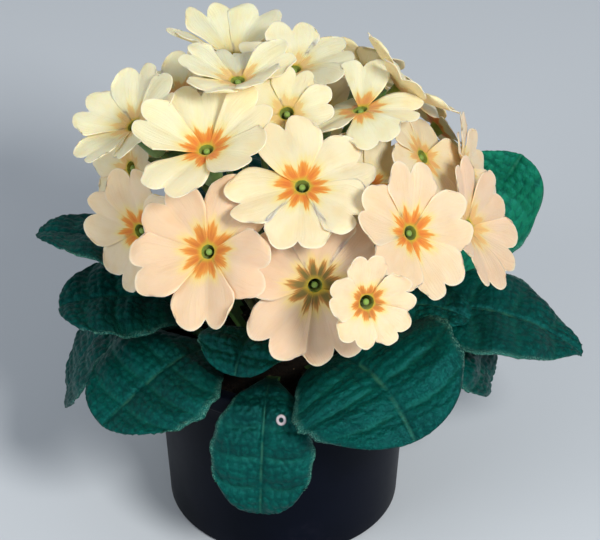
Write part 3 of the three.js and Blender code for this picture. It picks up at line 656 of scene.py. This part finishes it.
def pot_profile():
    """Radius and height from the middle of the foot up the outside, over the lip and down the inside."""
    lip_foot = POT.height - POT.lip_height
    round_edge, round_rim = 0.9, 0.6
    quarter = np.linspace(0, math.pi / 2, 5)
    profile = [(0.3, 0.0), (POT.base - 4.2, 0), (POT.base - POT.foot, 0)]
    profile += [(POT.base - POT.foot + POT.foot * math.sin(t), POT.foot * (1 - math.cos(t)))
                for t in np.linspace(0.3, math.pi / 2, 5)]
    profile += [(POT.base + (POT.top - POT.base) * (z - POT.foot) / (lip_foot - POT.foot), z)
                for z in np.linspace(8, lip_foot - 0.8, 12)]
    profile += [(POT.top + 0.15, lip_foot - 0.25), (POT.top + 0.6, lip_foot)]
    shoulder = POT.lip - round_edge
    profile += [(shoulder + round_edge * math.sin(t), lip_foot + round_edge * (1 - math.cos(t)))
                for t in quarter]
    profile += [(POT.lip, z) for z in np.linspace(lip_foot + 2, POT.height - 2.2, 5)]
    profile += [(shoulder + round_edge * math.cos(t), POT.height - round_edge + round_edge * math.sin(t))
                for t in quarter]
    inner = POT.top - POT.wall
    profile += [(inner + round_rim * math.cos(t), POT.height - round_rim + round_rim * math.sin(t))
                for t in np.linspace(math.pi / 2, math.pi, 4)[:-1]]
    return profile + [(inner - 0.1, POT.height - 1.5), (POT.base - POT.wall, POT.floor), (0.3, POT.floor)]


def cut_drains(pot):
    cutters = Mesh()
    for i in range(DRAIN.count):
        turn = 2 * math.pi * i / DRAIN.count
        middle = (DRAIN.ring * math.cos(turn), DRAIN.ring * math.sin(turn), 0)
        add_tube(cutters, [level_ring(DRAIN.radius, round_turn(SIDES.drain), z) + middle for z in (-3, 6)])
    data = bpy.data.meshes.new("drains")
    data.from_pydata((np.concatenate(cutters.points) * MM).tolist(), [], cutters.faces)
    tool = bpy.data.objects.new("drains", data)
    bpy.context.scene.collection.objects.link(tool)
    cut = pot.modifiers.new("drains", "BOOLEAN")
    cut.object, cut.operation, cut.solver = tool, "DIFFERENCE", "EXACT"
    bpy.context.view_layer.update()
    done = bpy.data.meshes.new_from_object(pot.evaluated_get(bpy.context.evaluated_depsgraph_get()))
    pot.modifiers.clear()
    pot.data = done
    bpy.data.objects.remove(tool)


def make_pot(material):
    mesh = Mesh()
    angle = round_turn(SIDES.pot)
    add_tube(mesh, [level_ring(r, angle, z) for r, z in pot_profile()])
    cut_drains(mesh.piece("pot_shell", ["pot"], "pot", material))


# Materials.
class Nodes:
    """Small helpers to write a material's nodes as sums."""

    def __init__(self, name):
        self.material = bpy.data.materials.new(name)
        self.material.use_nodes = True
        self.tree = self.material.node_tree
        self.shader = self.tree.nodes["Principled BSDF"]

    def link(self, value, socket):
        if isinstance(value, bpy.types.NodeSocket):
            self.tree.links.new(value, socket)
        else:
            socket.default_value = value

    def node(self, kind, inputs=(), **settings):
        node = self.tree.nodes.new(kind)
        for key, value in settings.items():
            setattr(node, key, value)
        for key, value in dict(inputs).items():
            self.link(value, node.inputs[key])
        return node

    def value(self, name):
        return self.node("ShaderNodeAttribute", attribute_name=name).outputs["Fac"]

    def math(self, operation, *values):
        node = self.node("ShaderNodeMath", operation=operation)
        for socket, value in zip(node.inputs, values):
            self.link(value, socket)
        return node.outputs[0]

    def ramp(self, low, high, x):
        return self.node("ShaderNodeMapRange", {"Value": x, "From Min": low, "From Max": high},
                         interpolation_type="SMOOTHSTEP").outputs[0]

    def times(self, a, b):
        return self.math("MULTIPLY", a, b)

    def mix(self, factor, a, b):
        node = self.node("ShaderNodeMix", data_type="RGBA")
        for socket, value in ((node.inputs[0], factor), (node.inputs[6], a), (node.inputs[7], b)):
            self.link(value, socket)
        return node.outputs[2]

    def vector(self, x, y, z):
        return self.node("ShaderNodeCombineXYZ", {"X": x, "Y": y, "Z": z}).outputs[0]

    def noise(self, scale, vector=None, detail=3.0, rough=0.5):
        if vector is None:
            vector = self.node("ShaderNodeTexCoord").outputs["Object"]
        inputs = {"Vector": vector, "Scale": scale, "Detail": detail, "Roughness": rough}
        return self.node("ShaderNodeTexNoise", inputs).outputs["Fac"]

    def bump(self, height, strength, distance, below=None):
        inputs = {"Height": height, "Strength": strength, "Distance": distance}
        if below is not None:
            inputs["Normal"] = below
        return self.node("ShaderNodeBump", inputs).outputs[0]

    def finish(self, **sockets):
        for key, value in sockets.items():
            self.link(value, self.shader.inputs[key.replace("_", " ")])
        return self.material


def shade(red, green, blue):
    """A colour given as 0 to 255 on screen, as the shader's linear values."""
    linear = [((c / 255 + 0.055) / 1.055) ** 2.4 if c > 10 else c / 3295 for c in (red, green, blue)]
    return (*linear, 1.0)


def petal_material():
    n = Nodes("petal")
    reach, across, tint, brown, eye = (n.value(k) for k in ("reach", "across", "tint", "brown", "eye"))
    seed, rim, under = (n.value(k) for k in ("petal", "rim", "under"))
    streaks = n.noise(1.0, n.vector(n.times(across, 16.0), n.times(reach, 2.2), seed), 4.0, 0.6)
    flames = n.noise(1.0, n.vector(n.times(across, 7.0), n.times(reach, 1.5), seed), 3.0, 0.6)
    blotch = n.noise(1.0, n.vector(n.times(across, 1.6), n.times(reach, 2.5), seed), 2.0, 0.5)
    base = n.mix(tint, shade(253, 242, 202), shade(242, 199, 170))
    warm = n.mix(tint, shade(246, 218, 156), shade(234, 182, 146))
    base = n.mix(n.times(n.ramp(0.4, 0.75, blotch), 0.4), base, warm)
    base = n.mix(n.times(n.ramp(0.5, 0.8, streaks), 0.16), base, shade(236, 196, 148))
    # Painted shade: the petal is darker and warmer towards the throat, where the cup lies in shade.
    base = n.mix(n.times(n.ramp(0.5, 0.15, reach), 0.3), base, shade(238, 206, 128))
    # Painted light: the petal's margin and tip are paler, as light shining through the thin edge.
    base = n.mix(n.times(rim, 0.4), base, shade(254, 240, 218))
    base = n.mix(n.times(under, 0.35), base, shade(226, 208, 152))
    # The eye: a two-pronged orange mark on each petal inside a yellow halo, round a green throat.
    prong = n.math("SUBTRACT", n.math("ABSOLUTE", across), 0.4)
    prong = n.math("EXPONENT", n.times(n.times(prong, prong), -11.0))
    edge = n.math("ADD", n.times(prong, 0.14), 0.165)
    edge = n.math("ADD", edge, n.times(n.math("SUBTRACT", flames, 0.5), 0.3))
    edge = n.math("ADD", edge, n.times(n.math("SUBTRACT", streaks, 0.5), 0.1))
    inside = n.math("SUBTRACT", edge, reach)
    halo = n.times(n.ramp(-0.16, 0.05, inside), n.math("ADD", n.times(eye, 0.35), 0.2))
    mark = n.times(n.ramp(-0.015, 0.05, inside), n.times(eye, 0.9))
    orange = n.mix(n.ramp(0.02, 0.2, inside), shade(240, 146, 50), shade(222, 106, 18))
    olive = n.mix(n.ramp(0.0, 0.16, inside), shade(204, 132, 62), shade(96, 92, 38))
    colour = n.mix(halo, base, shade(250, 214, 112))
    colour = n.mix(mark, colour, n.mix(brown, orange, olive))
    colour = n.mix(n.ramp(0.1, 0.03, reach), colour, shade(206, 176, 56))
    colour = n.mix(n.ramp(0.03, -0.005, reach), colour, shade(132, 148, 58))
    colour = n.mix(n.ramp(-0.02, -0.07, reach), colour, shade(126, 156, 72))
    lines = n.bump(streaks, 0.4, 0.0007)
    lines = n.bump(n.noise(2600.0, detail=2.0), 0.12, 0.0002, lines)
    n.shader.inputs["Subsurface Radius"].default_value = (1.0, 0.66, 0.36)
    return n.finish(
        Base_Color=colour, Roughness=0.62, Normal=lines, Subsurface_Weight=0.6, Subsurface_Scale=0.0018,
        Specular_IOR_Level=0.25, Sheen_Weight=0.1, Sheen_Roughness=0.5)


def leaf_material():
    n = Nodes("leaf")
    u, v, edge, vein, rib, net, stem, fresh, under, index = (
        n.value(k) for k in ("u", "v", "edge", "vein", "rib", "net", "stem", "fresh", "under", "leaf"))
    plane = n.vector(u, v, n.times(index, 13.0))
    broad = n.noise(0.06, plane, 3.0, 0.55)
    fine = n.noise(0.9, plane, 4.0, 0.6)
    specks = n.noise(2.6, plane, 2.0, 0.5)
    base = n.mix(n.ramp(0.3, 0.7, broad), shade(0, 42, 40), shade(0, 62, 57))
    base = n.mix(fresh, base, n.mix(n.ramp(0.3, 0.7, broad), shade(10, 98, 70), shade(24, 126, 92)))
    base = n.mix(n.times(n.ramp(0.4, 0.75, fine), 0.45), base, shade(8, 94, 82))
    # Painted shade in the valleys between the puffed cells.
    base = n.mix(n.times(n.ramp(0.5, 1.0, net), 0.5), base, shade(0, 32, 32))
    base = n.mix(n.times(vein, 0.22), base, shade(36, 118, 98))
    thread = n.times(rib, n.ramp(0.35, 0.6, n.noise(0.12, plane, 2.0)))
    base = n.mix(n.times(thread, 0.36), base, shade(96, 158, 118))
    # A painted highlight: pale specks along the blade's margin, as light catching its edge.
    frost = n.times(n.ramp(0.9, 1.0, edge), n.ramp(0.48, 0.6, specks))
    base = n.mix(n.times(frost, 0.6), base, shade(120, 180, 162))
    base = n.mix(n.ramp(1.4, 1.8, edge), base, shade(104, 158, 140))
    # Painted shade: the blade is darker towards its base, under the blooms and the leaves above.
    base = n.mix(n.times(n.ramp(60.0, 24.0, v), 0.75), base, shade(0, 20, 18))
    nick = n.value("nick")
    # The nick: a pale dry ring round a dark middle, which is painted shade standing for the darkness seen
    # through the hole.
    base = n.mix(n.ramp(2.3, 1.7, nick), base, shade(190, 176, 184))
    base = n.mix(n.ramp(1.15, 0.85, nick), base, shade(12, 24, 26))
    base = n.mix(n.times(under, 0.5), base, shade(46, 104, 76))
    base = n.mix(n.times(n.ramp(0.4, 1.0, stem), 0.8), base, shade(84, 116, 56))
    relief = n.bump(fine, 0.7, 0.0006)
    relief = n.bump(specks, 0.4, 0.0003, relief)
    rough = n.node("ShaderNodeMapRange", {"Value": broad, "To Min": 0.33, "To Max": 0.5}).outputs[0]
    return n.finish(
        Base_Color=base, Roughness=rough, Normal=relief, Specular_IOR_Level=0.45,
        Specular_Tint=(0.1, 0.8, 0.82, 1.0), Subsurface_Weight=0.05, Subsurface_Scale=0.001)


def stalk_material():
    n = Nodes("stalk")
    kind, height = n.value("kind"), n.value("height")
    mottle = n.noise(420.0, detail=4.0)
    base = n.mix(n.ramp(0.0, 0.9, height), shade(58, 52, 30), shade(84, 118, 52))
    calyx = n.mix(n.ramp(0.3, 0.9, height), shade(112, 142, 72), shade(70, 116, 50))
    base = n.mix(n.ramp(0.6, 0.9, kind), base, calyx)
    base = n.mix(n.ramp(1.4, 1.8, kind), base, shade(124, 158, 62))
    base = n.mix(n.times(n.ramp(0.4, 0.7, mottle), 0.25), base, shade(130, 156, 92))
    return n.finish(
        Base_Color=base, Roughness=0.55, Normal=n.bump(mottle, 0.25, 0.0003), Sheen_Weight=0.2,
        Sheen_Roughness=0.5, Subsurface_Weight=0.08, Subsurface_Scale=0.001)


def soil_material():
    n = Nodes("soil")
    pale = n.value("shade")
    crumbs = n.noise(900.0, detail=5.0, rough=0.65)
    # The soil's own dark brown, darkened further towards black as painted shade.
    base = n.mix(n.ramp(0.35, 0.7, crumbs), shade(11, 9, 7), shade(30, 22, 16))
    base = n.mix(n.ramp(0.6, 1.0, pale), base, shade(92, 80, 64))
    return n.finish(
        Base_Color=base, Roughness=0.95, Normal=n.bump(crumbs, 0.8, 0.001), Specular_IOR_Level=0.2)


def pot_material():
    n = Nodes("pot")
    cloud = n.noise(18.0, detail=4.0)
    grain = n.noise(1500.0, detail=2.0)
    dust = n.noise(60.0, detail=5.0, rough=0.7)
    base = n.mix(n.ramp(0.3, 0.7, cloud), shade(5, 7, 14), shade(9, 12, 24))
    base = n.mix(n.times(n.ramp(0.58, 0.75, dust), 0.08), base, shade(56, 52, 66))
    rough = n.node("ShaderNodeMapRange", {"Value": dust, "To Min": 0.34, "To Max": 0.5}).outputs[0]
    return n.finish(
        Base_Color=base, Roughness=rough, Normal=n.bump(grain, 0.12, 0.0002), Specular_IOR_Level=0.07,
        Specular_Tint=(0.4, 0.6, 1.0, 1.0))


# Light, floor and camera.
def stage():
    data = bpy.data.meshes.new("floor")
    size = 6.0
    corners = [(-size, -size, 0), (size, -size, 0), (size, size, 0), (-size, size, 0)]
    data.from_pydata(corners, [], [(0, 1, 2, 3)])
    data.materials.append(Nodes("floor").finish(Base_Color=shade(206, 214, 224), Roughness=0.8))
    floor = bpy.data.objects.new("floor", data)
    floor.location.z = -0.0002
    bpy.context.scene.collection.objects.link(floor)


def lamp(name, values):
    data = bpy.data.lights.new(name, "AREA")
    data.shape, data.size, data.energy, data.color = "DISK", values.size, values.power, values.colour
    light = bpy.data.objects.new(name, data)
    light.location = values.place
    aim = np.array(values.aim) - np.array(values.place)
    flat = math.hypot(aim[0], aim[1])
    light.rotation_euler = (math.pi / 2 + math.atan2(aim[2], flat), 0, math.atan2(-aim[0], aim[1]))
    bpy.context.scene.collection.objects.link(light)


def lights():
    world = bpy.data.worlds.new("studio")
    bpy.context.scene.world = world
    world.use_nodes = True
    background = world.node_tree.nodes["Background"]
    background.inputs["Color"].default_value = SKY.colour
    background.inputs["Strength"].default_value = SKY.strength
    lamp("key", KEY)
    lamp("fill", FILL)


def camera():
    elevation = radians(CAMERA.elevation)
    data = bpy.data.cameras.new("camera")
    data.sensor_width, data.lens = CAMERA.sensor, CAMERA.lens
    data.clip_start, data.clip_end = 0.05, 20
    eye = bpy.data.objects.new("camera", data)
    back = np.array((0, -math.cos(elevation), math.sin(elevation)))
    eye.location = np.array(CAMERA.target) * MM + CAMERA.distance * back
    eye.rotation_euler = (math.pi / 2 - elevation, 0, 0)
    bpy.context.scene.collection.objects.link(eye)
    bpy.context.scene.camera = eye


petal, green = petal_material(), leaf_material()
for i, b in enumerate(BLOOMS, 1):
    make_bloom(b, f"bloom_{i:02d}", petal)
make_stalks(stalk_material())
for i, l in enumerate(LEAVES, 1):
    make_leaf(l, i, f"leaf_{i:02d}", green)
make_soil(soil_material())
make_pot(pot_material())
stage()
lights()
camera()
bpy.context.scene.view_settings.view_transform = "Standard"
